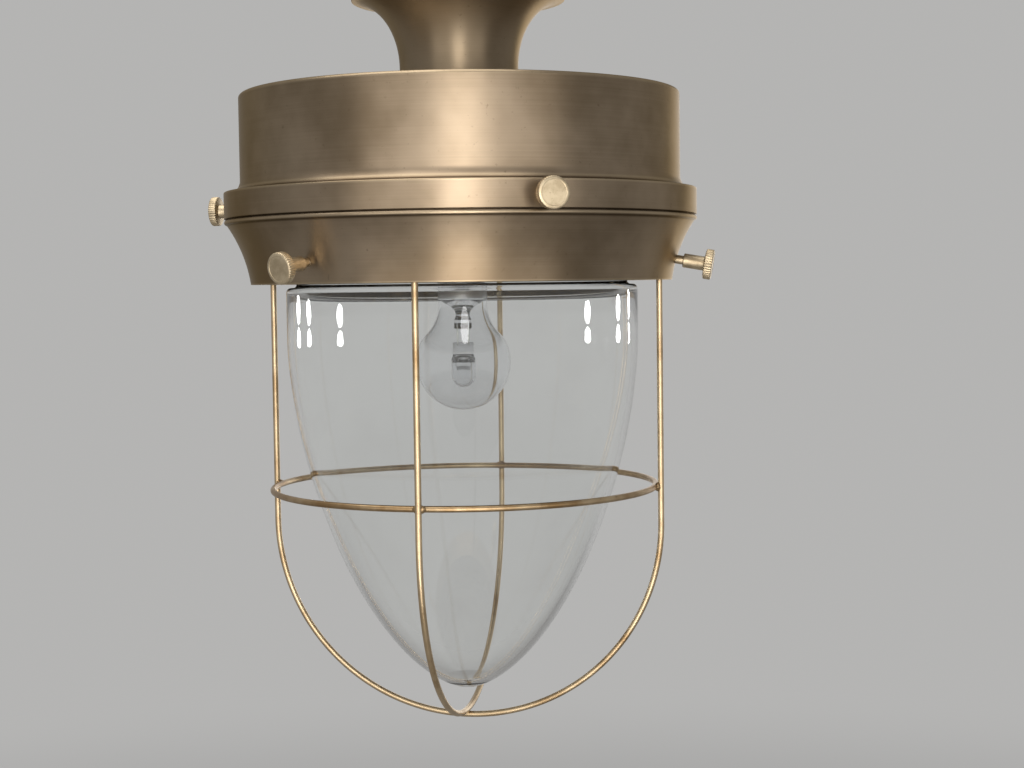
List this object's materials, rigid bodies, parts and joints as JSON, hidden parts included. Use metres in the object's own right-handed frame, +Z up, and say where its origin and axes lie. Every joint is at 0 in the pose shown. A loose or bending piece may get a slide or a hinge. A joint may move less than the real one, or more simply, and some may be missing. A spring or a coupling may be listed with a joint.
{
  "type": "ceiling lantern",
  "caption": "Ceiling lantern in antique brass: trumpet canopy, drum, fitter ring, clear glass shade, bulb and wire cage.",
  "frame": {"origin": "centre of the ceiling bracket's slots, on the ceiling plane", "axes": "+Z up into the ceiling; -Y is the pictured front; +X is the viewer's right"},
  "size_m": [0.2918, 0.284, 0.422],
  "materials": {
    "antique_brass": "satin lacquered antique brass",
    "screw_brass": "turned brass",
    "wire_brass": "drawn brass wire",
    "ring_brass": "darker drawn brass wire",
    "clear_glass": "clear blown glass",
    "bulb_glass": "thin clear glass",
    "cap_aluminium": "rolled aluminium",
    "black_glass": "black vitrite",
    "tungsten": "tungsten wire",
    "zinc_steel": "zinc-plated steel",
    "black_phenolic": "moulded phenolic",
    "white_ceramic": "glazed porcelain",
    "white_plastic": "moulded nylon",
    "brown_sleeve": "insulated lead",
    "blue_sleeve": "insulated lead"
  },
  "bodies": {
    "mounting": {"ceiling_bracket": "zinc_steel", "bracket_nut": "zinc_steel", "earth_screw": "screw_brass", "terminal_block": "white_plastic", "terminal_clamps": "screw_brass", "terminal_screws": "zinc_steel", "block_screw": "zinc_steel", "canopy": "antique_brass", "stem_tube": "zinc_steel", "drum": "antique_brass", "drum_washer": "zinc_steel", "drum_nut": "zinc_steel", "live_lead": "brown_sleeve", "neutral_lead": "blue_sleeve", "holder_cap": "black_phenolic", "holder_grub_screw": "zinc_steel", "holder_insert": "white_ceramic", "holder_terminals": "screw_brass", "centre_contact": "screw_brass", "thread_shell": "screw_brass", "holder_skirt": "black_phenolic"},
    "lantern": {"fitter_ring": "antique_brass", "lower_bushes": "screw_brass", "glass_shade": "clear_glass", "cage_hoop_front": "wire_brass", "cage_hoop_side": "wire_brass", "cage_ring": "ring_brass", "cage_nuts": "screw_brass"},
    "bulb": {"bulb_cap": "cap_aluminium", "bulb_insulator": "black_glass", "bulb_contact": "zinc_steel", "bulb_envelope": "bulb_glass", "bulb_stem": "bulb_glass", "bulb_supports": "zinc_steel", "bulb_capsule": "bulb_glass", "bulb_filament": "tungsten"},
    "upper_knob_1": {"upper_screw_1": "screw_brass"},
    "upper_knob_2": {"upper_screw_2": "screw_brass"},
    "upper_knob_3": {"upper_screw_3": "screw_brass"},
    "lower_knob_1": {"lower_screw_1": "screw_brass"},
    "lower_knob_2": {"lower_screw_2": "screw_brass"},
    "lower_knob_3": {"lower_screw_3": "screw_brass"}
  },
  "joints": [
    {"name": "lantern_drop", "type": "slide", "parent": "mounting", "child": "lantern", "axis": [0, 0, -1], "range_m": [0, 0.015]},
    {"name": "bulb_unscrew", "type": "slide", "parent": "mounting", "child": "bulb", "axis": [0, 0, -1], "range_m": [0, 0.026]},
    {"name": "upper_screw_travel_1", "type": "slide", "parent": "lantern", "child": "upper_knob_1", "axis": [0.309, -0.9511, 0], "range_m": [0, 0.0025]},
    {"name": "upper_screw_travel_2", "type": "slide", "parent": "lantern", "child": "upper_knob_2", "axis": [0.6691, 0.7431, 0], "range_m": [0, 0.0025]},
    {"name": "upper_screw_travel_3", "type": "slide", "parent": "lantern", "child": "upper_knob_3", "axis": [-0.9781, 0.2079, 0], "range_m": [0, 0.0025]},
    {"name": "lower_screw_travel_1", "type": "slide", "parent": "lantern", "child": "lower_knob_1", "axis": [-0.6461, -0.7432, -0.1736], "range_m": [0, 0.008]},
    {"name": "lower_screw_travel_2", "type": "slide", "parent": "lantern", "child": "lower_knob_2", "axis": [0.9667, -0.1879, -0.1736], "range_m": [0, 0.008]},
    {"name": "lower_screw_travel_3", "type": "slide", "parent": "lantern", "child": "lower_knob_3", "axis": [-0.3206, 0.9312, -0.1736], "range_m": [0, 0.008]}
  ]
}
